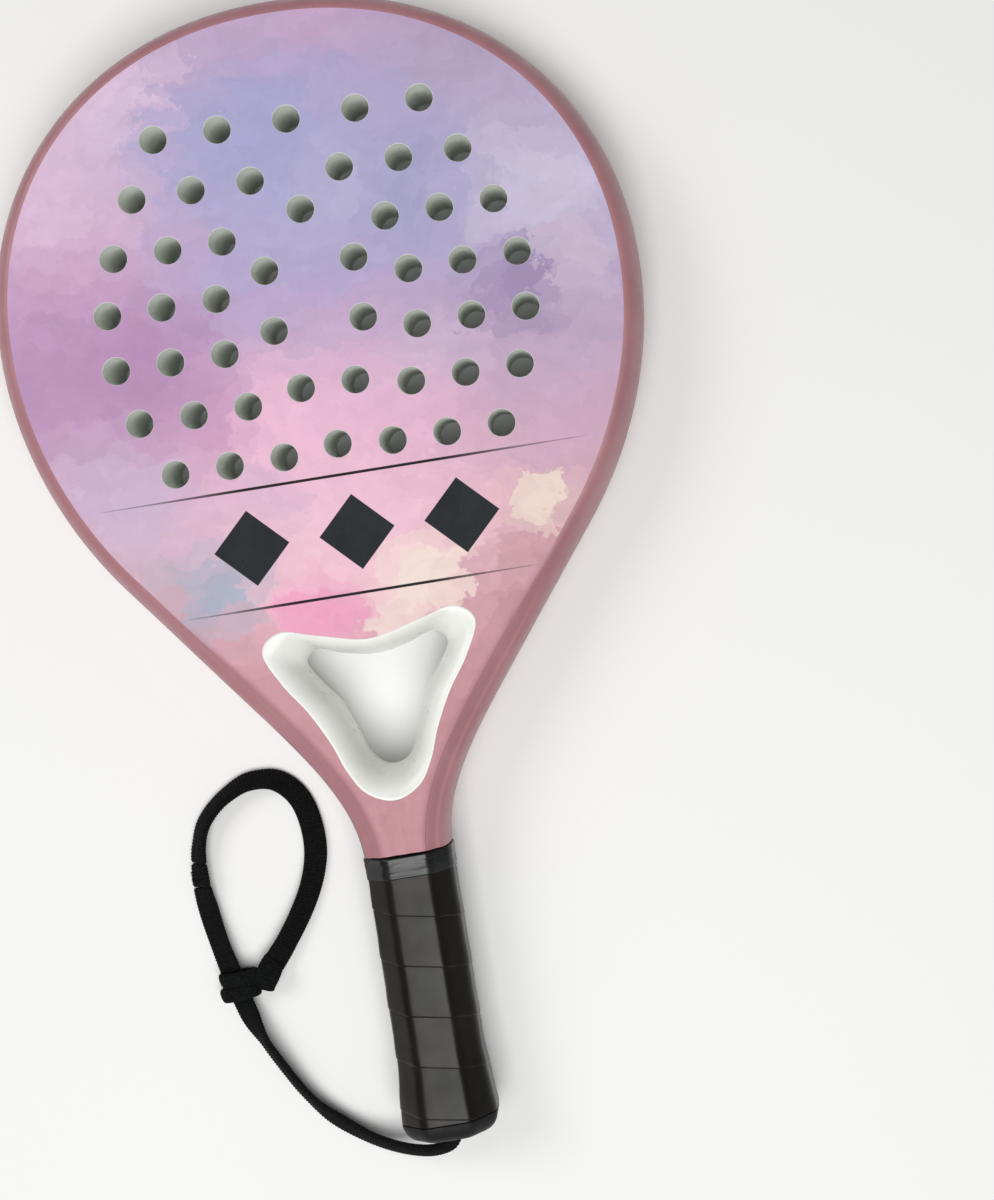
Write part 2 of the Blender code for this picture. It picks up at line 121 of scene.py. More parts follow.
def bezier(start, pull_start, pull_end, end, steps):
    """Points of one cubic span, without its first point."""
    corners = [Vector(p) for p in (start, pull_start, pull_end, end)]
    points = []
    for index in range(1, steps + 1):
        t = index / steps
        s = 1.0 - t
        weights = (s ** 3, 3 * s * s * t, 3 * s * t * t, t ** 3)
        points.append(sum((w * p for w, p in zip(weights, corners)), Vector((0.0, 0.0))))
    return points


def catmull(a, b, c, d, t):
    return 0.5 * (2 * b + (c - a) * t + (2 * a - 5 * b + 4 * c - d) * t * t
                  + (3 * b - a - 3 * c + d) * t ** 3)


def smooth_spans(route, steps):
    """Smooth curve from a route's second point up to its last but one."""
    return [catmull(*corners, step / steps) for corners in zip(route, route[1:], route[2:], route[3:])
            for step in range(steps)]


def smooth_closed(points, steps):
    return smooth_spans(points[-1:] + points + points[:2], steps)


def smooth_open(points, steps):
    """A smooth curve through an open route, its ends running on straight."""
    route = [Vector(p) for p in points]
    route = [2 * route[0] - route[1]] + route + [2 * route[-1] - route[-2]]
    return smooth_spans(route, steps) + [route[-2]]


def racket_half(fine):
    """Silhouette of the +X half, from the crown to the collar; fine multiplies its points."""
    rise = CROWN_Y - HEAD_CENTRE_Y
    power = 2.0 / SQUARENESS
    arc_steps = 15 * fine
    points = []
    for index in range(arc_steps + 1):
        angle = 0.5 * math.pi * index / arc_steps
        across = HALF_WIDTH * math.sin(angle) ** power
        along = rise * max(math.cos(angle), 0.0) ** power
        points.append(Vector((across, HEAD_CENTRE_Y + along)))
    points += bezier(points[-1], (0.128, 0.066), (0.113, 0.0305), SHOULDER, 9 * fine)
    points += bezier(SHOULDER, (0.078, -0.0143), (0.063, -0.0335), ARM, 4 * fine)
    collar = (COLLAR_HALF, COLLAR_Y)
    points += bezier(ARM, (0.0290, -0.0775), (0.0185, -0.0940), collar, 8 * fine)
    return points


def half_normals(half):
    """Inward directions along a half silhouette."""
    inward = [Vector((0.0, -1.0))]
    for before, after in zip(half, half[2:]):
        run = (after - before).normalized()
        inward.append(Vector((run.y, -run.x)))
    return inward + [Vector((-1.0, 0.0))]


def inset_half(half, distance):
    return [point + distance * inward for point, inward in zip(half, half_normals(half))]


def mirrored(half):
    other = [Vector((-p.x, p.y)) for p in reversed(half) if p.x > GAP]
    return list(half) + other


def grown(points, distance):
    """A closed, clockwise outline moved outwards."""
    count = len(points)
    moved = []
    for index, point in enumerate(points):
        run = (points[(index + 1) % count] - points[index - 1]).normalized()
        moved.append(point + distance * Vector((-run.y, run.x)))
    return moved


def throat_outline(half, steps):
    return smooth_closed(mirrored([Vector(p) for p in half]), steps)


def hole_centres():
    """The drilled pattern in pitches: seven rows, and the holes that fill the middle."""
    rows = {3.5: (0.0, 1.27, 2.45), 2.5: (0.82, 1.91, 3.0), 1.5: (1.5, 2.5, 3.5),
            0.5: (1.77, 2.77, 3.77), -0.5: (1.77, 2.77, 3.77), -1.5: (1.5, 2.5, 3.5),
            -2.5: (1.0, 2.0, 3.0)}
    spots = [(across, row) for row, steps in rows.items() for across in steps]
    spots += [(0.0, 1.86), (0.82, 0.86), (0.82, -0.23), (0.5, -1.32), (0.0, -2.41)]
    centres = []
    for across, row in spots:
        x = across * PITCH_X
        y = HOLE_GRID_Y + row * PITCH_Y
        centres.append((x, y))
        if across > 0.0:
            centres.append((-x, y))
    return centres


def circle(centre, radius, sides):
    turn = 2 * math.pi / sides
    return [Vector((centre[0] + radius * math.cos(turn * i), centre[1] + radius * math.sin(turn * i)))
            for i in range(sides)]


def mesh_piece(name, mesh, finish, smooth_angle=40):
    """Turn a bmesh into a named, shaded object."""
    data = bpy.data.meshes.new(name)
    mesh.to_mesh(data)
    mesh.free()
    data.shade_smooth()
    data.set_sharp_from_angle(angle=math.radians(smooth_angle))
    data.materials.append(finish)
    made = bpy.data.objects.new(name, data)
    bpy.context.scene.collection.objects.link(made)
    return made


def loft(rings, closed=False):
    """Faces through rings of equal length, capped or closed into a loop of rings."""
    mesh = bmesh.new()
    rows = [[mesh.verts.new(point) for point in ring] for ring in rings]
    pairs = list(zip(rows, rows[1:]))
    if closed:
        pairs.append((rows[-1], rows[0]))
    for near, far in pairs:
        for index in range(len(near)):
            after = (index + 1) % len(near)
            mesh.faces.new((near[index], near[after], far[after], far[index]))
    if not closed:
        mesh.faces.new(rows[0][::-1])
        mesh.faces.new(rows[-1])
    bmesh.ops.recalc_face_normals(mesh, faces=mesh.faces)
    return mesh


# ---- material helpers ----

def srgb(red, green, blue):
    """Linear colour from display values out of 255."""
    return tuple(((v / 255 + 0.055) / 1.055) ** 2.4 if v > 10 else v / 3295 for v in (red, green, blue))


class Finish:
    """A Principled material with short calls for the nodes it needs; colours are display values."""

    def __init__(self, name, colour, roughness, **values):
        self.material = bpy.data.materials.new(name)
        self.material.use_nodes = True
        self.tree = self.material.node_tree
        self.shader = self.tree.nodes["Principled BSDF"]
        self.shader.inputs["Base Color"].default_value = (*srgb(*colour), 1.0)
        self.shader.inputs["Roughness"].default_value = roughness
        for socket, value in values.items():
            self.shader.inputs[socket.replace("_", " ")].default_value = value
        self.place = self.node("ShaderNodeTexCoord").outputs["Object"]

    def node(self, kind, **settings):
        made = self.tree.nodes.new(kind)
        for key, value in settings.items():
            setattr(made, key, value)
        return made

    def feed(self, socket, value):
        if isinstance(value, bpy.types.NodeSocket):
            self.tree.links.new(value, socket)
        else:
            socket.default_value = value

    def math(self, operation, *values):
        made = self.node("ShaderNodeMath", operation=operation)
        for socket, value in zip(made.inputs, values):
            self.feed(socket, value)
        return made.outputs[0]

    def vector(self, operation, *values):
        made = self.node("ShaderNodeVectorMath", operation=operation)
        for socket, value in zip(made.inputs, values):
            self.feed(socket, value)
        return made.outputs["Value" if operation == "DISTANCE" else "Vector"]

    def apart(self, first, second):
        return self.math("ABSOLUTE", self.math("SUBTRACT", first, second))

    def times(self, value, factor):
        return self.math("MULTIPLY", value, factor)

    def stretched(self, where, factors):
        return self.vector("MULTIPLY", where, factors)

    def axes(self, where=None):
        made = self.node("ShaderNodeSeparateXYZ")
        self.feed(made.inputs[0], where or self.place)
        return made.outputs

    def noise(self, scale, detail=3.0, roughness=0.5, where=None, output="Fac"):
        made = self.node("ShaderNodeTexNoise")
        self.feed(made.inputs["Vector"], where or self.place)
        made.inputs["Scale"].default_value = scale
        made.inputs["Detail"].default_value = detail
        made.inputs["Roughness"].default_value = roughness
        return made.outputs[output]

    def cells(self, scale, where=None, output="Distance"):
        made = self.node("ShaderNodeTexVoronoi")
        self.feed(made.inputs["Vector"], where or self.place)
        made.inputs["Scale"].default_value = scale
        return made.outputs[output]

    def wave(self, scale, direction, distortion):
        made = self.node("ShaderNodeTexWave", bands_direction=direction)
        self.feed(made.inputs["Vector"], self.place)
        made.inputs["Scale"].default_value = scale
        made.inputs["Distortion"].default_value = distortion
        return made.outputs["Fac"]

    def remap(self, value, low, high, to_low=0.0, to_high=1.0, smooth=True):
        kind = "SMOOTHSTEP" if smooth else "LINEAR"
        made = self.node("ShaderNodeMapRange", interpolation_type=kind)
        for socket, number in zip(made.inputs, (value, low, high, to_low, to_high)):
            self.feed(socket, number)
        return made.outputs[0]

    def mix(self, share, first, second):
        """One colour over another by a share; the colours are sockets or display values."""
        made = self.node("ShaderNodeMix", data_type="RGBA")
        colours = [s for s in made.inputs if s.type == "RGBA"]
        self.feed(made.inputs[0], share)
        for socket, value in zip(colours, (first, second)):
            self.feed(socket, value if isinstance(value, bpy.types.NodeSocket) else (*srgb(*value), 1.0))
        return next(s for s in made.outputs if s.type == "RGBA")

    def clouded(self, cloud, dark, light, low=0.3, high=0.7):
        """A colour that drifts between two display colours."""
        return self.mix(self.remap(cloud, low, high), dark, light)

    def colour(self, value):
        self.feed(self.shader.inputs["Base Color"], value)

    def roughness(self, cloud, smooth, rough, low=0.3, high=0.7):
        self.feed(self.shader.inputs["Roughness"], self.remap(cloud, low, high, smooth, rough))

    def bump(self, height, strength, distance):
        made = self.node("ShaderNodeBump")
        made.inputs["Strength"].default_value = strength
        made.inputs["Distance"].default_value = distance
        self.feed(made.inputs["Height"], height)
        previous = self.shader.inputs["Normal"]
        if previous.links:
            self.tree.links.new(previous.links[0].from_socket, made.inputs["Normal"])
        self.tree.links.new(made.outputs[0], previous)


# ---- camera, at the photographed angle ----

def add_camera():
    """Looks straight down on the racket, turned so that the head leans to the left."""
    data = bpy.data.cameras.new("view_camera")
    data.sensor_width = 36.0
    data.lens = 55.7
    data.shift_x = -0.0858
    data.shift_y = -0.0667
    camera = bpy.data.objects.new("view_camera", data)
    camera.location = (0.096, 0.004, 0.760)
    camera.rotation_euler = (0.0, 0.0, math.radians(-9.09))
    bpy.context.scene.collection.objects.link(camera)
    bpy.context.scene.camera = camera


# ---- the wrist strap ----

BAND_STEP = 0.00028
RIB_HEIGHT = 0.00016
RIB_PITCH = 0.00125
END_ROUNDING = 0.0012
END_NARROWING = 0.0006
CORD_RADIUS = 0.0032
REST_HEIGHT = 0.0004


def keyed(share, keys):
    """Smooth value at a share of the length, from (share, value) keys."""
    for (start, low), (end, high) in zip(keys, keys[1:]):
        if share <= end:
            return low + (high - low) * smoothstep(start, end, share)
    return keys[-1][1]


def even_path(points, step):
    """The same line with its points a fixed step apart."""
    lengths = [0.0]
    for near, far in zip(points, points[1:]):
        lengths.append(lengths[-1] + (far - near).length)
    count = max(int(round(lengths[-1] / step)), 2)
    path = []
    index = 0
    for number in range(count + 1):
        goal = lengths[-1] * number / count
        while index < len(points) - 2 and lengths[index + 1] < goal:
            index += 1
        share = (goal - lengths[index]) / (lengths[index + 1] - lengths[index])
        path.append(points[index].lerp(points[index + 1], min(share, 1.0)))
    return path


def band_section(width, thickness, squareness=3.2):
    """Flat oval section of a woven band, as (across, through) pairs."""
    sides = 20
    section = []
    for index in range(sides):
        angle = 2 * math.pi * index / sides
        c, s = math.cos(angle), math.sin(angle)
        across = 0.5 * width * math.copysign(abs(c) ** (2 / squareness), c)
        through = 0.5 * thickness * math.copysign(abs(s) ** (2 / squareness), s)
        section.append((across, through))
    return section


def band_rings(path, widths, thicknesses, tilts):
    """Rings of a ribbed band swept along a path; tilt lifts the right-hand edge."""
    total = sum((b - a).length for a, b in zip(path, path[1:]))
    run = 0.0
    rings = []
    for index, point in enumerate(path):
        before = path[max(index - 1, 0)]
        after = path[min(index + 1, len(path) - 1)]
        forward = (after - before).normalized()
        if index:
            run += (point - before).length
        share = run / total
        side = forward.cross(UP).normalized()
        up = side.cross(forward)
        tilt = math.radians(keyed(share, tilts))
        wide = math.cos(tilt) * side + math.sin(tilt) * up
        deep = math.cos(tilt) * up - math.sin(tilt) * side
        swell = RIB_HEIGHT * math.cos(2 * math.pi * run / RIB_PITCH)
        from_end = min(min(run, total - run) / END_ROUNDING, 1.0)
        taper = math.sqrt(max(1 - (1 - from_end) ** 2, 0.02))
        width = keyed(share, widths) - END_NARROWING * (1 - taper) + swell
        thickness = keyed(share, thicknesses) * taper + 2 * swell
        rings.append([point + a * wide + t * deep for a, t in band_section(width, thickness)])
    return rings


def settled(route, widths, thicknesses, tilts, free):
    """Path of a band that rests on what the frame's round cord rests on, after a free share."""
    path = even_path(smooth_open(route, 12), BAND_STEP)
    resting = []
    for index, point in enumerate(path):
        share = index / (len(path) - 1)
        tilt = math.radians(keyed(share, tilts))
        reach = math.hypot(0.5 * keyed(share, widths) * math.sin(tilt),
                           0.5 * keyed(share, thicknesses) * math.cos(tilt))
        down = smoothstep(0.0, free, share) if free else 1.0
        resting.append(point - down * (CORD_RADIUS - reach - REST_HEIGHT) * UP)
    return resting


def band_piece(name, path, widths, thicknesses, tilts, finish):
    return mesh_piece(name, loft(band_rings(path, widths, thicknesses, tilts)), finish), path


def strap_lead(finish):
    """From the cap, round the butt and up to the sewn joint, rolling on and off its edge."""
    widths = [(0.0, 0.0060), (0.06, 0.0064), (0.2, 0.0084), (0.4, WEBBING_WIDTH),
              (1.0, WEBBING_WIDTH)]
    thicknesses = [(0.0, 0.0040), (0.06, 0.0038), (0.2, 0.0030), (0.4, WEBBING_THICKNESS),
                   (1.0, WEBBING_THICKNESS)]
    tilts = [(0.0, 20.0), (0.10, 52.0), (0.26, 50.0), (0.35, 44.0), (0.44, 60.0), (0.60, 60.0),
             (0.69, 24.0), (0.76, 14.0), (0.86, 24.0), (0.94, 20.0), (1.0, 30.0)]
    path = settled(LEAD_ROUTE, widths, thicknesses, tilts, 0.16)
    return band_piece("wrist_strap_lead", path, widths, thicknesses, tilts, finish)


def strap_loop(finish):
    """The wrist loop, leaning inwards, from the sewn joint round to the knot."""
    widths = [(0.0, WEBBING_WIDTH), (1.0, WEBBING_WIDTH + 0.0004)]
    thicknesses = [(0.0, 0.0030), (0.3, 0.0032), (0.6, WEBBING_THICKNESS), (1.0, 0.0030)]
    tilts = [(0.0, 44.0), (0.08, 52.0), (0.20, 56.0), (0.33, 44.0), (0.45, 18.0), (0.6, 10.0),
             (0.75, 26.0), (0.9, 30.0), (1.0, 12.0)]
    path = settled(LOOP_ROUTE, widths, thicknesses, tilts, 0.0)
    return band_piece("wrist_strap_loop", path, widths, thicknesses, tilts, finish)


def joined(name, meshes, finish):
    """One piece from several closed bmeshes."""
    whole = bmesh.new()
    for part in meshes:
        data = bpy.data.meshes.new("part")
        part.to_mesh(data)
        part.free()
        whole.from_mesh(data)
        bpy.data.meshes.remove(data)
    return mesh_piece(name, whole, finish)


def wrap_mesh(centre, right, along, reach, rise, width, thickness, lean):
    """A band wound once round the lead: an oval hoop that leans along it."""
    steps = 96
    ribs = 24
    roundness = 0.8
    rings = []
    for index in range(steps):
        angle = 2 * math.pi * index / steps
        c, s = math.cos(angle), math.sin(angle)
        height = rise * math.copysign(abs(s) ** roundness, s)
        middle = centre + reach * c * right + height * UP + lean * c * along
        outward = (c / reach * right + s / rise * UP).normalized()
        swell = 0.75 * RIB_HEIGHT * math.cos(ribs * angle)
        section = band_section(width + swell, thickness + 2 * swell, squareness=2.5)
        rings.append([middle + a * along + t * outward for a, t in section])
    return loft(rings, closed=True)


# The knot's two wraps: place across and along the lead, half width, half height, the band's
# width and thickness, and how far the wrap leans.
WRAPS = [(-0.0006, 0.0026, 0.0068, 0.0035, 0.0062, 0.0028, -0.0016),
         (-0.0026, -0.0027, 0.0066, 0.0034, 0.0058, 0.0029, -0.0011)]
# The loop's end as it folds down over them: place across the lead, along it and above its middle.
FOLD = [(0.0156, 0.0040, -0.0002), (0.0140, 0.0030, 0.0004), (0.0122, 0.0013, 0.0012),
        (0.0102, -0.0008, 0.0022), (0.0084, -0.0027, 0.0021), (0.0072, -0.0041, 0.0008),
        (0.0066, -0.0049, -0.0012)]


def strap_knot(finish):
    """Slip knot: two wraps round the lead and the loop's end that runs into them."""
    centre = (KNOT_LOW + KNOT_HIGH) / 2
    heading = Vector(LEAD_HEADING).normalized()
    right = Vector((heading.y, -heading.x, 0.0))
    meshes = [wrap_mesh(centre + along * heading + across * right, right, heading, *shape)
              for across, along, *shape in WRAPS]
    route = [centre + across * right + along * heading + above * UP for across, along, above in FOLD]
    path = even_path(smooth_open(route, 8), BAND_STEP)
    widths = [(0.0, 0.0092), (0.4, 0.0100), (1.0, 0.0086)]
    meshes.append(loft(band_rings(path, widths, [(0.0, 0.0029), (1.0, 0.0026)],
                                  [(0.0, 10.0), (0.5, 0.0), (1.0, 0.0)])))
    return joined("wrist_strap_knot", meshes, finish)


def thread_mesh(start, end, lift, radius):
    """One stitch: a short thread that rises off the webbing between two points."""
    steps = 8
    sides = 8
    tip = 0.35
    out = lift.normalized()
    aside = (end - start).normalized().cross(out)
    turns = [2 * math.pi * side / sides for side in range(sides)]
    rings = []
    for index in range(steps + 1):
        share = index / steps
        arch = math.sin(math.pi * share)
        middle = start.lerp(end, share) + arch * lift
        slim = radius * (tip + (1 - tip) * arch)
        rings.append([middle + slim * (math.cos(t) * aside + math.sin(t) * out) for t in turns])
    return loft(rings)


def strap_seam(finish):
    """Overlapped ends of the webbing, sewn through with two rows of stitches."""
    centre = (SEAM_LOW + SEAM_HIGH) / 2
    first = Vector(LEAD_ROUTE[-1])
    last = Vector(LOOP_ROUTE[0])
    route = [first.lerp(centre, 0.02), first.lerp(centre, 0.6), last.lerp(centre, 0.6),
             last.lerp(centre, 0.02)]
    layer_rise = 0.0003
    path = [point + layer_rise * UP for point in even_path(smooth_open(route, 6), BAND_STEP)]
    meshes = [loft(band_rings(path, [(0.0, 0.0088), (0.5, 0.0090), (1.0, 0.0088)],
                              [(0.0, 0.0036), (1.0, 0.0038)], [(0.0, 36.0), (1.0, 46.0)]))]
    lean = math.radians(41.0)
    wide = Vector((math.cos(lean), 0.0, math.sin(lean)))
    deep = Vector((-math.sin(lean), 0.0, math.cos(lean)))
    middle = path[len(path) // 2]
    pitch, half_stitch, top = 0.0015, 0.0006, 0.0018
    for row in (-0.00144, 0.00144):
        for number in range(-2, 3):
            base = middle + pitch * number * wide + top * deep + Vector((0.0, row, 0.0))
            meshes.append(thread_mesh(base - half_stitch * wide, base + half_stitch * wide,
                                      0.0003 * deep, 0.00032))
    edge, bulge, thread_end = 0.0039, 0.0009, 0.0007
    for side in (-1, 1):
        base = middle + side * edge * wide
        meshes.append(thread_mesh(base + 0.0012 * deep, base - 0.0004 * deep, side * bulge * wide,
                                  thread_end))
    return joined("wrist_strap_seam", meshes, finish)


# ---- the head ----

# The arms' outer section as (inset, height from mid-plane), rolled at the face and nearly flat below.
ARM_SECTION = [(0.0084, 0.0182), (0.0079, 0.0180), (0.0072, 0.0175), (0.0065, 0.0167),
               (0.0058, 0.0159), (0.0052, 0.0154), (0.0046, 0.0151), (0.0040, 0.0149),
               (0.0034, 0.0146), (0.0028, 0.0141), (0.0022, 0.0133), (0.0016, 0.0121),
               (0.0010, 0.0102), (0.0005, 0.0076), (0.00015, 0.0042), (0.0, 0.0)]
ARM_SEAM = 0.00022
ARM_START = -0.004
ARM_FULL = -0.034
EDGE_DROP = 0.0008
SEAT_HEIGHT = 0.0175


def section_at(y):
    """Frame section: a half round on the hoop that turns into the arms' rolled one."""
    share = smoothstep(ARM_START, ARM_FULL, y)
    front = []
    for inset, height in ARM_SECTION:
        hoop = MID * math.sqrt(max(1 - ((RIM - inset) / RIM) ** 2, 0.0))
        front.append((inset, hoop + (height - hoop) * share))
    back = [(inset, -height) for inset, height in reversed(front[:-1])]
    return front + back + [(RIM, -SEAT_HEIGHT), (SEAT, -SEAT_HEIGHT), (SEAT, SEAT_HEIGHT),
                           (RIM, SEAT_HEIGHT)]


def frame_tube(half, finish):
    """Hoop and arms in one tube, with the legs that run down inside the handle."""
    normals = half_normals(half)
    rings = []
    for point, inward in zip(half, normals):
        ring = []
        for inset, height in section_at(point.y):
            spot = point + inset * inward
            ring.append(Vector((spot.x, spot.y, MID + height)))
        rings.append(ring)
    leg_outer, leg_inner, leg_rise, leg_end = 0.0110, 0.0030, 0.0085, -0.2132
    for y in (COLLAR_Y - GAP / 2, leg_end):
        ring = []
        for inset, height in section_at(y):
            across = leg_outer - (leg_outer - leg_inner) * inset / SEAT
            tall = min(max(height * leg_rise / SEAT_HEIGHT, -leg_rise), leg_rise)
            ring.append(Vector((across, y, MID + tall)))
        rings.append(ring)
    left = [[Vector((-p.x, p.y, p.z)) for p in ring] for ring in reversed(rings[1:])]
    return mesh_piece("hoop_and_arms", loft(left + rings), finish, 38)


def flat_plate(name, outlines, low, high, chamfer):
    """A plate with openings and slightly broken edges, as a bmesh."""
    data = bpy.data.curves.new(name, "CURVE")
    data.dimensions = "2D"
    data.fill_mode = "BOTH"
    data.extrude = (high - low) / 2 - chamfer
    data.bevel_depth = chamfer
    data.bevel_resolution = 0
    data.offset = -chamfer
    for outline in outlines:
        spline = data.splines.new("POLY")
        spline.points.add(len(outline) - 1)
        spline.points.foreach_set("co", [v for p in outline for v in (p.x, p.y, 0.0, 1.0)])
        spline.use_cyclic_u = True
    curve = bpy.data.objects.new(name, data)
    bpy.context.scene.collection.objects.link(curve)
    evaluated = curve.evaluated_get(bpy.context.evaluated_depsgraph_get())
    made = bpy.data.meshes.new_from_object(evaluated)
    bpy.data.objects.remove(curve, do_unlink=True)
    mesh = bmesh.new()
    mesh.from_mesh(made)
    bpy.data.meshes.remove(made)
    bmesh.ops.translate(mesh, verts=mesh.verts, vec=(0.0, 0.0, (low + high) / 2))
    bmesh.ops.remove_doubles(mesh, verts=mesh.verts, dist=0.00001)
    return mesh


def edge_gap(x, y):
    """Distance from a point of the throat's face to the edge of the face sheet."""
    nearby = 0.012
    spot = Vector((abs(x), y))
    gap = 1.0
    for near, far in zip(ROLL_LINE, ROLL_LINE[1:]):
        if abs(near.y - y) < nearby:
            run = far - near
            share = min(max((spot - near).dot(run) / run.length_squared, 0.0), 1.0)
            gap = min(gap, (spot - near - share * run).length)
    return gap


def hollow(x, y, gap):
    """How far the arms' face lies below flat: rolled edges and two flutes at the heel."""
    roll_width, flute_width = 0.0056, 0.0020
    roll = EDGE_DROP * (1 - min(gap / roll_width, 1.0)) ** 2
    centre = 0.0047 - 0.0017 * smoothstep(-0.095, -0.103, y)
    flute = 0.0
    for side, depth in ((-1, 0.0011), (1, 0.0009)):
        flute += depth * math.exp(-((x - side * centre) / flute_width) ** 2)
    return smoothstep(ARM_START, ARM_FULL, y) * roll + flute * smoothstep(-0.089, -0.098, y)


def face_skin(name, side, finish):
    """Printed face sheet: drilled, cut for the throat, and moulded over the arms."""
    chamfer = 0.00020
    cut_step = 0.0015
    inner_share = 0.4
    fade_width = 0.0022
    edge = mirrored(inset_half(HALF, RIM - chamfer))
    for spot in edge:
        if spot.x > 0.0:
            spot.x -= ARM_SEAM * smoothstep(ARM_START, ARM_FULL, spot.y)
    throat = grown(throat_outline(THROAT_FACE, 8), -chamfer)[::-1]
    outlines = [edge, throat] + [circle(spot, HOLE_RADIUS, 40) for spot in hole_centres()]
    low = THICKNESS - SKIN if side > 0 else 0.0
    mesh = flat_plate(name, outlines, low, low + SKIN, chamfer)
    for step in range(73):
        cut(mesh, (0.0, ARM_START - cut_step * step, 0.0), (0.0, 1.0, 0.0), ARM_START)
    for step in range(-60, 61):
        cut(mesh, (cut_step * step, 0.0, 0.0), (1.0, 0.0, 0.0), ARM_START)
    fade = mesh.verts.layers.float.new("edge_fade")
    middle = low + SKIN / 2
    for vert in mesh.verts:
        if vert.co.y < ARM_START:
            gap = edge_gap(vert.co.x, vert.co.y)
            share = 1.0 if side * (vert.co.z - middle) > 0 else inner_share
            vert.co.z -= side * share * hollow(vert.co.x, vert.co.y, gap)
            edge = 1 - smoothstep(0.0, fade_width, gap)
            vert[fade] = smoothstep(ARM_START, ARM_FULL, vert.co.y) * edge
    return mesh_piece(name, mesh, finish, 30)


def cut(mesh, spot, normal, below):
    """Slice the faces that lie below a given y."""
    faces = [f for f in mesh.faces if min(v.co.y for v in f.verts) < below]
    edges = {e for f in faces for e in f.edges}
    verts = {v for f in faces for v in f.verts}
    bmesh.ops.bisect_plane(mesh, geom=list(verts) + list(edges) + faces, dist=0.000001,
                           plane_co=spot, plane_no=normal)


def foam_core(half, finish):
    """Foam slab inside the hoop, down to the bridge, with the same drilled holes."""
    end_y, half_height, chamfer = -0.008, 0.0172, 0.0001
    bore = HOLE_RADIUS + 0.00012
    wall = [p for p in inset_half(half, SEAT + GAP) if p.y > end_y]
    outlines = [mirrored(wall)] + [circle(spot, bore, 40) for spot in hole_centres()]
    mesh = flat_plate("foam_core", outlines, MID - half_height, MID + half_height, chamfer)
    return mesh_piece("foam_core", mesh, finish, 30)


def throat_surround(name, side, finish):
    """Half of the moulded white surround: a rounded funnel from the face to the waist."""
    face = throat_outline(THROAT_FACE, 10)
    waist = throat_outline(THROAT_WAIST, 10)
    # (share of the way from face outline to waist, height from mid-plane): wall, lip, then funnel.
    profile = [(0.0, GAP / 2), (0.0, MID - 0.0003), (0.008, MID - 0.00005), (0.030, MID + 0.00006)]
    steps = 14
    for index in range(1, steps):
        angle = 0.5 * math.pi * index / steps
        profile.append((math.sin(angle), MID * math.cos(angle)))
    profile += [(1.0, 0.0), (0.985, 0.0)]
    rings = []
    for share, height in profile:
        flat = [outer.lerp(inner, share) for outer, inner in zip(face, waist)]
        rings.append([Vector((p.x, p.y, MID + side * height)) for p in flat])
    return mesh_piece(name, loft(rings, closed=True), finish, 50)


# ---- the handle ----

def grip_section(growth, per_side=4, per_corner=4):
    """Eight-sided section with rounded corners, as (x, z) from the axis."""
    corner = 0.0022
    side_share = 0.45
    width = GRIP_HALF_WIDTH + growth
    height = GRIP_HALF_HEIGHT + growth
    flat = GRIP_FLAT * width / GRIP_HALF_WIDTH
    side = side_share * height
    corners = [(-flat, height), (flat, height), (width, side), (width, -side),
               (flat, -height), (-flat, -height), (-width, -side), (-width, side)]
    corners = [Vector(c) for c in corners]
    points = []
    for index, here in enumerate(corners):
        before = corners[index - 1]
        after = corners[(index + 1) % 8]
        start = here + corner * (before - here).normalized()
        end = here + corner * (after - here).normalized()
        for step in range(per_corner):
            t = step / per_corner
            points.append((1 - t) ** 2 * start + 2 * t * (1 - t) * here + t * t * end)
        leave = after + corner * (here - after).normalized()
        points += [end.lerp(leave, step / per_side) for step in range(per_side)]
    return points


def on_handle(point, y, growth):
    """A point of the unswollen section, moved out by a growth, at its place on the handle."""
    outward = 1 + growth / GRIP_HALF_WIDTH
    upward = 1 + growth / GRIP_HALF_HEIGHT
    return Vector((point.x * outward, y, MID + point.y * upward))


def flare_at(y):
    """How far the wrap swells towards the cap."""
    return GRIP_FLARE * (0.75 * smoothstep(-0.1940, -0.2130, y)
                         + 0.25 * smoothstep(-0.2110, -0.2195, y))


# One turn of the wrap as (share of the pitch, height), from the lap's edge to just under the next.
LAP = [(0.0, 0.00036), (0.035, 0.00040), (0.10, 0.00036), (0.22, 0.00028), (0.34, 0.00010),
       (0.42, 0.0), (0.60, -0.00003), (0.80, 0.0), (0.93, 0.00002), (0.975, -0.00003),
       (0.985, -0.00006), (0.992, 0.00012), (0.997, 0.00030), (1.0, 0.00036)]
LAP_RELIEF = 0.6


def lap_lift(place):
    """Height of the strip at a place between two laps."""
    place %= 1.0
    for (start, low), (stop, high) in zip(LAP, LAP[1:]):
        if place <= stop:
            return LAP_RELIEF * (low + (high - low) * (place - start) / (stop - start))


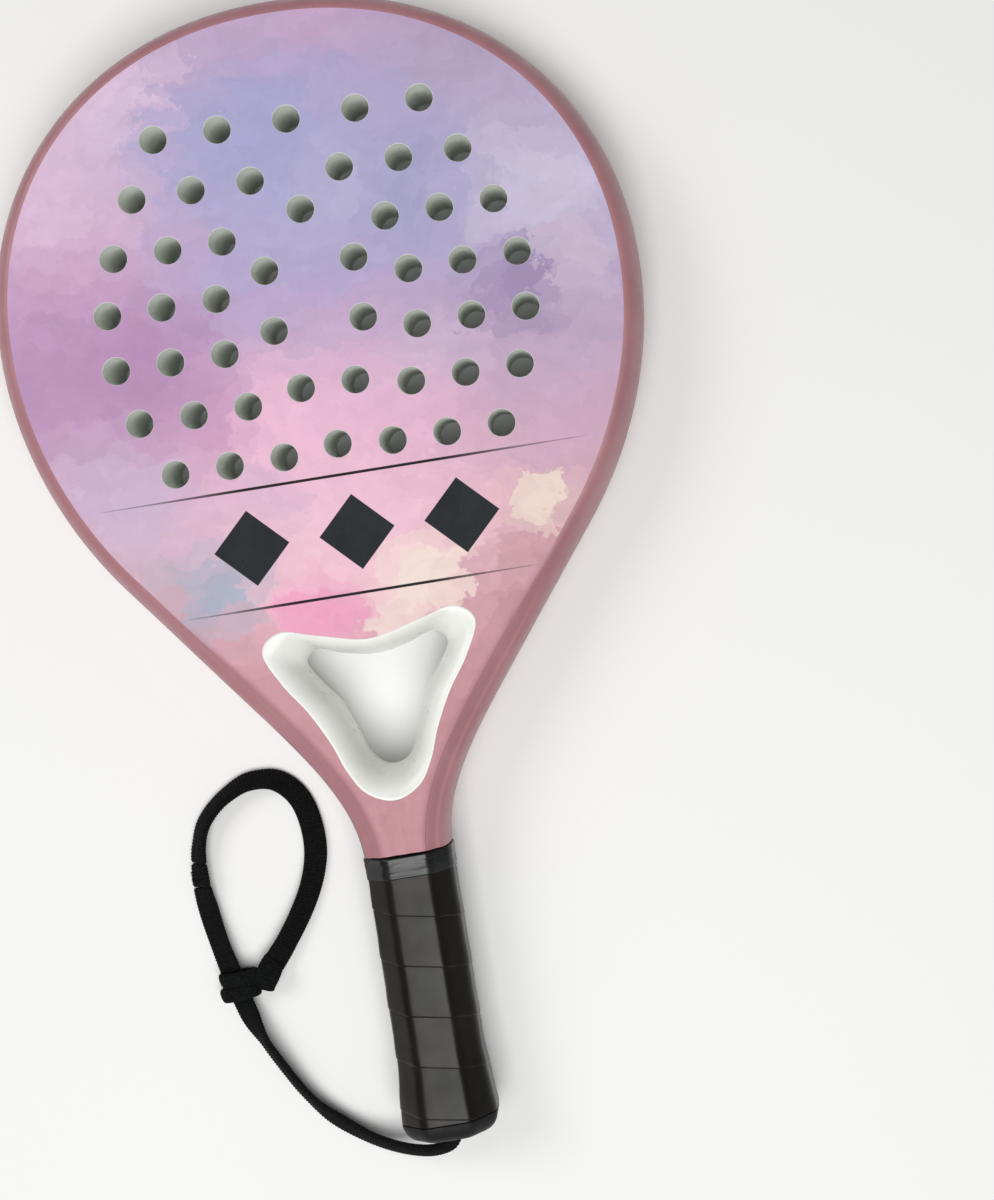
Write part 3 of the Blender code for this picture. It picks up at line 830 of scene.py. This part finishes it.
def grip_wrap(finish):
    """Overgrip: one strip wound down the handle, each turn lapping the one below it."""
    pitch = 0.0200
    phase = 0.0180
    wall = 0.0010
    weld = 0.000004
    top = WRAP_HIGH.y
    end = WRAP_LOW.y
    section = grip_section(0.0)
    closed = section + section[:1]
    rounds = [0.0]
    for near, far in zip(closed, closed[1:]):
        rounds.append(rounds[-1] + (far - near).length)
    places = [place - turn for turn in range(int((top - end) / pitch) + 3)
              for place, _ in reversed(LAP[:-1])]
    mesh = bmesh.new()
    columns = []
    for point, run in zip(closed, rounds):
        column = [on_handle(point, top, -wall)]
        for place in places:
            free = top + phase + pitch * (place - run / rounds[-1])
            y = min(max(free, end), top)
            column.append(on_handle(point, y, flare_at(y) + lap_lift(place + (y - free) / pitch)))
        column.append(on_handle(point, end, -wall))
        columns.append([mesh.verts.new(spot) for spot in column])
    for near, far in zip(columns, columns[1:]):
        for index in range(len(near)):
            mesh.faces.new((near[index - 1], near[index], far[index], far[index - 1]))
    bmesh.ops.remove_doubles(mesh, verts=mesh.verts, dist=weld)
    bmesh.ops.recalc_face_normals(mesh, faces=mesh.faces)
    return mesh_piece("grip_wrap", mesh, finish, 50)


def section_ring(y, growth, **detail):
    return [Vector((p.x, y, MID + p.y)) for p in grip_section(growth, **detail)]


def collar_tape(finish):
    """Finishing tape at the top of the grip, pulled into fine creases."""
    top = TAPE_HIGH.y
    width = TAPE_HIGH.y - TAPE_LOW.y
    rows = 26
    relief = 0.00022
    detail = {"per_side": 8, "per_corner": 5}
    rings = []
    for row in range(rows + 1):
        share = row / rows
        edge = smoothstep(0.0, 0.06, share) * smoothstep(1.0, 0.94, share)
        ring = []
        for point in grip_section(0.0, **detail):
            turn = math.atan2(point.y, point.x)
            lap_line = 0.30 + 0.10 * math.sin(turn - 1.1)
            lap = smoothstep(lap_line - 0.03, lap_line + 0.03, share)
            crease = noise.noise(Vector((1.1 * math.cos(turn), 1.1 * math.sin(turn), 5.5 * share)))
            growth = relief + edge * (0.00020 + relief * (1 - lap + crease))
            ring.append(on_handle(point, top - width * share, growth))
        rings.append(ring)
    rings += [section_ring(y, 0.0002, **detail) for y in (top - width, top)]
    return mesh_piece("collar_tape", loft(rings, closed=True), finish, 60)


def end_cap(finish):
    """Rounded rubber cap with a rolled lip under the wrap and the strap's hole."""
    edge = WRAP_LOW.y - GAP
    top = CAP_HIGH.y
    neck, roll, lip, shrink, wall = 0.0002, 0.0003, 0.0018, 0.0065, 0.0032
    hole, mouth, depth = 0.0037, 0.0006, 0.0037
    face_y = BUTT_Y + 0.0001
    rings = [section_ring(top, neck), section_ring(edge + roll, neck),
             section_ring(edge, 0.0014), section_ring(edge - roll, lip)]
    steps = 12
    for index in range(1, steps + 1):
        angle = 0.5 * math.pi * index / steps
        rings.append(section_ring(edge + (BUTT_Y - edge) * math.sin(angle),
                                  lip - shrink * (1 - math.cos(angle))))
    outline = [p.normalized() for p in grip_section(lip - shrink)]
    for y, radius in ((face_y, hole + 0.0022), (face_y, hole + mouth), (BUTT_Y + mouth, hole),
                      (BUTT_Y + depth, hole)):
        rings.append([Vector((radius * p.x, y, MID + radius * p.y)) for p in outline])
    rings += [section_ring(y, -wall) for y in (BUTT_Y + depth, top)]
    return mesh_piece("end_cap", loft(rings, closed=True), finish, 45)


# ---- finishes ----

ROSE = (168, 117, 124)


def lacquer():
    """Dusty rose satin lacquer with a little orange peel and pale rubbed flecks."""
    finish = Finish("rose_lacquer", ROSE, 0.44, Coat_Weight=0.12, Coat_Roughness=0.25)
    cloud = finish.noise(34.0, 4.0, 0.55)
    base = finish.clouded(cloud, (163, 112, 119), (173, 122, 128))
    fleck = finish.remap(finish.noise(900.0, 2.0, 0.5), 0.66, 0.74)
    worn = finish.times(fleck, finish.remap(finish.noise(60.0), 0.5, 0.66))
    finish.colour(finish.mix(finish.times(worn, 0.35), base, (204, 168, 168)))
    finish.roughness(finish.noise(150.0, 5.0, 0.6), 0.38, 0.52)
    finish.bump(finish.noise(420.0), 0.25, 0.00008)
    return finish.material


# Display colours down the face, as (y, colour), at its left edge, middle and right edge.
PRINT_LEFT = [(0.222, (216, 186, 212)), (0.170, (218, 188, 214)), (0.140, (210, 170, 204)),
              (0.110, (186, 148, 188)), (0.072, (186, 144, 184)), (0.040, (212, 180, 205)),
              (0.012, (210, 180, 196)), (-0.018, (203, 153, 162)), (-0.050, (196, 146, 152))]
PRINT_MIDDLE = [(0.222, (200, 166, 200)), (0.186, (172, 168, 208)), (0.134, (179, 173, 210)),
                (0.106, (184, 162, 202)), (0.082, (220, 180, 208)), (0.045, (235, 184, 208)),
                (0.012, (240, 198, 212)), (-0.014, (240, 194, 206)), (-0.034, (216, 162, 174)),
                (-0.055, (196, 144, 151))]
PRINT_RIGHT = [(0.222, (180, 156, 184)), (0.175, (182, 168, 200)), (0.140, (192, 182, 214)),
               (0.115, (188, 176, 208)), (0.095, (172, 154, 188)), (0.072, (198, 170, 197)),
               (0.050, (202, 166, 191)), (0.020, (212, 172, 186)), (0.0, (202, 152, 162)),
               (-0.050, (172, 124, 129))]

# Washes laid over that: (x, y, radius, strength, display colour).
WASHES = [(-0.020, 0.172, 0.032, 0.8, (166, 166, 208)), (0.045, 0.143, 0.034, 0.8, (164, 161, 199)),
          (0.094, 0.136, 0.028, 0.9, (206, 196, 220)), (0.104, 0.104, 0.022, 0.8, (206, 186, 208)),
          (-0.062, 0.090, 0.034, 0.7, (182, 138, 181)), (-0.094, 0.160, 0.030, 0.7, (222, 190, 216)),
          (-0.060, 0.198, 0.026, 0.8, (224, 196, 222)), (0.078, 0.096, 0.020, 0.9, (160, 140, 178)),
          (-0.010, 0.062, 0.028, 0.6, (240, 190, 213)), (0.048, 0.080, 0.020, 0.7, (204, 182, 207)),
          (-0.046, 0.058, 0.020, 0.7, (204, 154, 190)), (-0.086, 0.046, 0.024, 0.6, (206, 184, 212)),
          (-0.058, -0.002, 0.021, 1.0, (172, 176, 196)), (-0.078, 0.008, 0.013, 0.9, (180, 176, 186)),
          (-0.018, -0.014, 0.020, 0.9, (238, 158, 192)), (0.025, -0.009, 0.021, 1.0, (242, 222, 211)),
          (0.074, 0.017, 0.013, 0.9, (240, 220, 205)), (0.008, -0.022, 0.012, 0.8, (238, 216, 210)),
          (0.050, 0.014, 0.016, 0.6, (236, 190, 202)), (0.012, 0.150, 0.022, 0.5, (190, 184, 214)),
          (0.020, 0.218, 0.022, 0.7, (200, 164, 200)), (-0.030, 0.034, 0.016, 0.7, (216, 182, 206))]


def colour_ramp(finish, height, stops, low, high):
    """Colours down the racket as a ramp node; height runs from low to high."""
    made = finish.node("ShaderNodeValToRGB")
    made.color_ramp.interpolation = "B_SPLINE"
    elements = made.color_ramp.elements
    while len(elements) < len(stops):
        elements.new(0.5)
    for element, (y, colour) in zip(elements, sorted(stops)):
        element.position = (y - low) / (high - low)
        element.color = (*srgb(*colour), 1.0)
    finish.feed(made.inputs[0], finish.remap(height, low, high, smooth=False))
    return made.outputs[0]


def watercolour(finish):
    """Soft washes that break into small irregular patches with crisp edges."""
    half = (0.5, 0.5, 0.5)
    drift = finish.vector("SUBTRACT", finish.noise(15.0, 6.0, 0.68, output="Color"), half)
    frayed = finish.vector("SUBTRACT", finish.noise(170.0, 4.0, 0.6, output="Color"), half)
    base = finish.vector("ADD", finish.place, finish.stretched(drift, (0.066, 0.044, 0.0)))
    rough = finish.vector("ADD", base, finish.stretched(frayed, (0.012, 0.007, 0.0)))
    where = base
    for scale, pull in ((60.0, 0.30), (135.0, 0.70)):
        flat = finish.stretched(rough, (scale * 0.66, scale, 0.0))
        cell = finish.cells(1.0, flat, "Position")
        back = finish.stretched(cell, (1 / (scale * 0.66), 1 / scale, 0.0))
        step = finish.stretched(finish.vector("SUBTRACT", back, base), (pull, pull, 0.0))
        where = finish.vector("ADD", where, step)
    x, y = finish.axes(where)[:2]
    low, high = -0.060, 0.226
    left, middle, right = [colour_ramp(finish, y, stops, low, high)
                           for stops in (PRINT_LEFT, PRINT_MIDDLE, PRINT_RIGHT)]
    colour = finish.mix(finish.remap(x, -0.086, -0.012), left, middle)
    colour = finish.mix(finish.remap(x, 0.012, 0.082), colour, right)
    flat = finish.stretched(where, (1.0, 1.0, 0.0))
    for across, along, radius, strength, tint in WASHES:
        reach = finish.vector("DISTANCE", flat, (across, along, 0.0))
        share = finish.remap(reach, 1.25 * radius, 0.1 * radius, 0.0, strength)
        colour = finish.mix(share, colour, tint)
    tone = finish.cells(170.0, rough, "Color")
    shade = finish.remap(finish.axes(tone)[0], 0.0, 1.0, 0.965, 1.025, smooth=False)
    along = finish.stretched(rough, (0.55, 1.6, 1.0))
    streak = finish.remap(finish.noise(75.0, 6.0, 0.7, along), 0.3, 0.7, 0.965, 1.03)
    return scaled_colour(finish, scaled_colour(finish, colour, shade), streak)


def scaled_colour(finish, colour, factor):
    """A colour times a number."""
    made = finish.node("ShaderNodeVectorMath", operation="SCALE")
    finish.feed(made.inputs[0], colour)
    finish.feed(made.inputs["Scale"], factor)
    return made.outputs[0]


def printed_line(finish, axes, y, reach, thickness):
    """Share of a fine line across the face, strongest in the middle and gone at both ends."""
    across = finish.math("ABSOLUTE", axes[0])
    fade = finish.remap(across, reach, 0.35 * reach)
    half = finish.times(finish.math("ADD", finish.times(fade, 0.65), 0.35), thickness / 2)
    line = finish.remap(finish.math("SUBTRACT", half, finish.apart(axes[1], y)), -0.00008, 0.00012)
    ends = finish.times(finish.remap(across, reach, 0.9 * reach), 0.38)
    return finish.times(line, finish.math("ADD", finish.times(fade, 0.62), ends))


def printed_diamond(finish, axes, x, y, size):
    """Share of a filled diamond with crisp edges."""
    blur = 0.00012
    away = finish.math("ADD", finish.apart(axes[0], x), finish.apart(axes[1], y))
    return finish.remap(away, size + blur, size - blur)


def face_print():
    """Printed satin sheet, pale where it is cut through (the sheet's pale cut edge, lightened as a
    painted highlight on the hole rims) and rose where it rolls over the arms.
    """
    finish = Finish("face_print", (210, 180, 208), 0.55, Specular_IOR_Level=0.22)
    axes = finish.axes()
    colour = watercolour(finish)
    for y, reach in ((0.03735, 0.099), (-0.0092, 0.072)):
        colour = finish.mix(printed_line(finish, axes, y, reach, 0.00115), colour, (16, 12, 18))
    for x in (-0.0394, 0.0020, 0.0433):
        colour = finish.mix(printed_diamond(finish, axes, x, 0.0145, 0.0148), colour, (26, 32, 35))
    dust = finish.remap(finish.noise(1300.0, 2.0, 0.5), 0.70, 0.76)
    colour = finish.mix(finish.times(dust, 0.04), colour, (240, 228, 236))
    fade = finish.node("ShaderNodeAttribute", attribute_name="edge_fade").outputs["Fac"]
    colour = finish.mix(finish.times(fade, 0.8), colour, ROSE)
    # Cut edges and hole rims below the face are coloured pale: partly the laminate's own cut edge,
    # partly a painted highlight on the rims.
    cut_edge_and_rim_highlight = finish.remap(finish.apart(axes[2], MID), MID - 0.00002, MID - 0.00008)
    head = finish.remap(axes[1], ARM_START - 0.002, ARM_START + 0.002)
    finish.colour(finish.mix(finish.times(cut_edge_and_rim_highlight, head), colour, (236, 238, 234)))
    finish.roughness(finish.noise(90.0, 5.0, 0.6), 0.48, 0.62)
    finish.bump(finish.noise(700.0), 0.18, 0.00006)
    return finish.material


def foam():
    """Pale closed-cell foam with the drill's fine rings and open pores."""
    finish = Finish("eva_foam", (140, 150, 143), 0.85)
    ring = finish.wave(170.0, "Z", 1.2)
    cloud = finish.noise(160.0, 4.0, 0.6)
    colour = finish.clouded(cloud, (226, 231, 223), (238, 242, 235))
    finish.colour(finish.mix(finish.remap(ring, 0.8, 1.0, 0.0, 0.4), colour, (250, 252, 248)))
    finish.roughness(cloud, 0.78, 0.92)
    finish.bump(ring, 0.4, 0.00012)
    finish.bump(finish.cells(1400.0), 0.35, 0.00010)
    return finish.material


def gloss_white():
    """Moulded white of the throat's surround, with faint scuffs."""
    finish = Finish("insert_white", (236, 237, 231), 0.30, Coat_Weight=0.08, Coat_Roughness=0.15)
    cloud = finish.noise(48.0, 4.0, 0.6)
    colour = finish.clouded(cloud, (233, 234, 227), (241, 242, 237))
    grime = finish.times(finish.remap(finish.noise(420.0, 4.0, 0.7), 0.60, 0.75),
                         finish.remap(finish.noise(36.0), 0.48, 0.62, 0.0, 0.09))
    finish.colour(finish.mix(grime, colour, (196, 190, 186)))
    finish.roughness(finish.noise(210.0, 5.0, 0.65), 0.26, 0.40, 0.3, 0.75)
    finish.bump(finish.noise(260.0), 0.12, 0.00006)
    return finish.material


def resin():
    """Grey moulded filler, seen only where the object comes apart."""
    finish = Finish("moulded_filler", (92, 92, 96), 0.6)
    cloud = finish.noise(120.0, 4.0, 0.6)
    finish.colour(finish.clouded(cloud, (80, 80, 84), (104, 104, 108)))
    finish.roughness(cloud, 0.5, 0.7)
    finish.bump(finish.cells(600.0), 0.3, 0.0001)
    return finish.material


def cushion():
    """Black base grip foam under the wrap."""
    finish = Finish("grip_cushion", (46, 46, 46), 0.9)
    pores = finish.cells(900.0)
    finish.colour(finish.clouded(pores, (34, 34, 34), (56, 56, 56), 0.1, 0.6))
    finish.roughness(pores, 0.95, 0.82, 0.1, 0.6)
    finish.bump(pores, 0.5, 0.00015)
    return finish.material


def grip_tape():
    """Black wrap, a little brown, with a fine grain and hand wear."""
    finish = Finish("grip_tape", (11, 10, 9), 0.32, Specular_IOR_Level=0.26)
    cloud = finish.noise(52.0, 5.0, 0.6)
    worn = finish.noise(14.0, 3.0, 0.5, finish.stretched(finish.place, (1.0, 0.6, 1.0)))
    colour = finish.clouded(cloud, (16, 13, 8), (26, 21, 14))
    finish.colour(finish.mix(finish.remap(worn, 0.45, 0.65, 0.0, 0.5), colour, (14, 16, 15)))
    finish.roughness(finish.noise(90.0, 5.0, 0.6), 0.28, 0.35)
    finish.bump(finish.cells(1900.0), 0.25, 0.00005)
    finish.bump(finish.noise(120.0, 4.0, 0.6), 0.15, 0.00015)
    return finish.material


def gloss_tape():
    """Black vinyl finishing tape, stretched and slightly smeared."""
    finish = Finish("gloss_tape", (14, 15, 16), 0.32)
    pull = finish.noise(60.0, 4.0, 0.6, finish.stretched(finish.place, (0.4, 5.0, 0.4)))
    finish.colour(finish.clouded(pull, (12, 13, 14), (22, 24, 25), 0.35, 0.7))
    finish.roughness(pull, 0.22, 0.34)
    finish.bump(pull, 0.18, 0.0001)
    return finish.material


def cap_rubber():
    """Matt moulded rubber of the end cap, lightly scuffed."""
    finish = Finish("cap_rubber", (12, 12, 13), 0.55, Specular_IOR_Level=0.3)
    cloud = finish.noise(130.0, 5.0, 0.65)
    scuff = finish.times(finish.remap(finish.noise(700.0, 3.0, 0.6), 0.58, 0.7),
                         finish.remap(finish.noise(60.0), 0.5, 0.62))
    colour = finish.clouded(cloud, (10, 10, 11), (18, 18, 19))
    finish.colour(finish.mix(finish.times(scuff, 0.25), colour, (60, 58, 56)))
    finish.roughness(cloud, 0.5, 0.7)
    finish.bump(finish.noise(1100.0, 3.0, 0.6), 0.3, 0.00008)
    return finish.material


def webbing():
    """Black woven polyester: crossing threads over the ribs, with a little lint."""
    dark, light = (4, 5, 5), (13, 15, 15)
    finish = Finish("webbing", dark, 0.82, Specular_IOR_Level=0.2)
    drift = finish.stretched(finish.noise(30.0, output="Color"), (0.0006, 0.0006, 0.0))
    turned = finish.vector("ADD", finish.place, drift)
    threads = finish.cells(1250.0, finish.stretched(turned, (1.0, 0.8, 0.7)))
    lint = finish.remap(finish.noise(1500.0, 3.0, 0.7), 0.68, 0.78)
    colour = finish.clouded(threads, light, dark, 0.1, 0.6)
    finish.colour(finish.mix(finish.times(lint, 0.12), colour, (96, 94, 90)))
    finish.roughness(threads, 0.74, 0.92, 0.1, 0.6)
    finish.bump(threads, 0.7, 0.00016)
    return finish.material


def floor_finish():
    finish = Finish("pale_floor", (243, 243, 242), 0.8)
    cloud = finish.noise(3.0)
    finish.colour(finish.mix(cloud, (242, 242, 241), (245, 245, 244)))
    return finish.material


# ---- studio ----

def area_light(name, place, size, power):
    """A square lamp that points at the racket's middle."""
    data = bpy.data.lights.new(name, "AREA")
    data.shape = "SQUARE"
    data.size = size
    data.energy = power
    lamp = bpy.data.objects.new(name, data)
    lamp.location = place
    lamp.rotation_euler = (-Vector(place)).to_track_quat("-Z", "Y").to_euler()
    bpy.context.scene.collection.objects.link(lamp)


def add_studio():
    """Pale floor, a softbox above the butt, a weaker one at the upper left and a pale room."""
    mesh = bmesh.new()
    bmesh.ops.create_grid(mesh, x_segments=8, y_segments=8, size=4.0)
    mesh_piece("studio_floor", mesh, floor_finish())
    area_light("overhead", (0.08, -0.60, 1.65), 1.2, 22.4)
    area_light("side", (-1.10, 0.70, 1.35), 0.9, 9.0)
    world = bpy.data.worlds.new("studio")
    world.use_nodes = True
    backdrop = world.node_tree.nodes["Background"]
    backdrop.inputs["Color"].default_value = (1.0, 1.0, 1.0, 1.0)
    backdrop.inputs["Strength"].default_value = 0.23
    bpy.context.scene.world = world
    bpy.context.scene.view_settings.view_transform = "Standard"


# ---- assembly ----

HALF = racket_half(3)
ROLL_LINE = [p for p in inset_half(HALF, RIM) if p.y < 0.03]

add_camera()

strap_finish = webbing()
lead, lead_path = strap_lead(strap_finish)
loop, loop_path = strap_loop(strap_finish)
knot = strap_knot(strap_finish)
seam = strap_seam(strap_finish)
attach(lead, "racket")
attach(seam, "racket")
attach(knot, "strap_slider")
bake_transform(loop)
for piece, node in ((lead, "strap_lead"), (loop, "strap_loop"), (knot, "strap_knot"),
                    (seam, "strap_bartack")):
    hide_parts(node)

rose = lacquer()
printed = face_print()
white = gloss_white()
pieces = [(frame_tube(HALF, rose), "frame_tube", "frame_lacquer"),
          (face_skin("printed_face_front", 1, printed), "front_skin", "face_print"),
          (face_skin("printed_face_back", -1, printed), "back_skin", "face_print"),
          (foam_core(HALF, foam()), "eva_core", "eva_foam"),
          (throat_surround("throat_surround_front", 1, white), "throat_insert_front", "insert_white"),
          (throat_surround("throat_surround_back", -1, white), "throat_insert_back", "insert_white"),
          (grip_wrap(grip_tape()), "overgrip", "grip_tape"),
          (collar_tape(gloss_tape()), "finishing_tape", "gloss_tape"),
          (end_cap(cap_rubber()), "butt_cap", "cap_rubber")]
for piece, node, slot in pieces:
    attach(piece, "racket")
    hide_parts(node)

# Nodes that keep their CAD shape get a finish of their own.
filler = resin()
hidden = {"throat_bridge": filler, "throat_heel": filler, "handle_pallet_front": filler,
          "handle_pallet_back": filler, "handle_filler": foam(), "base_grip": cushion(),
          "strap_anchor": strap_finish}
for node, finish in hidden.items():
    for slot in bpy.data.objects[node].material_slots:
        slot.material = finish

add_studio()
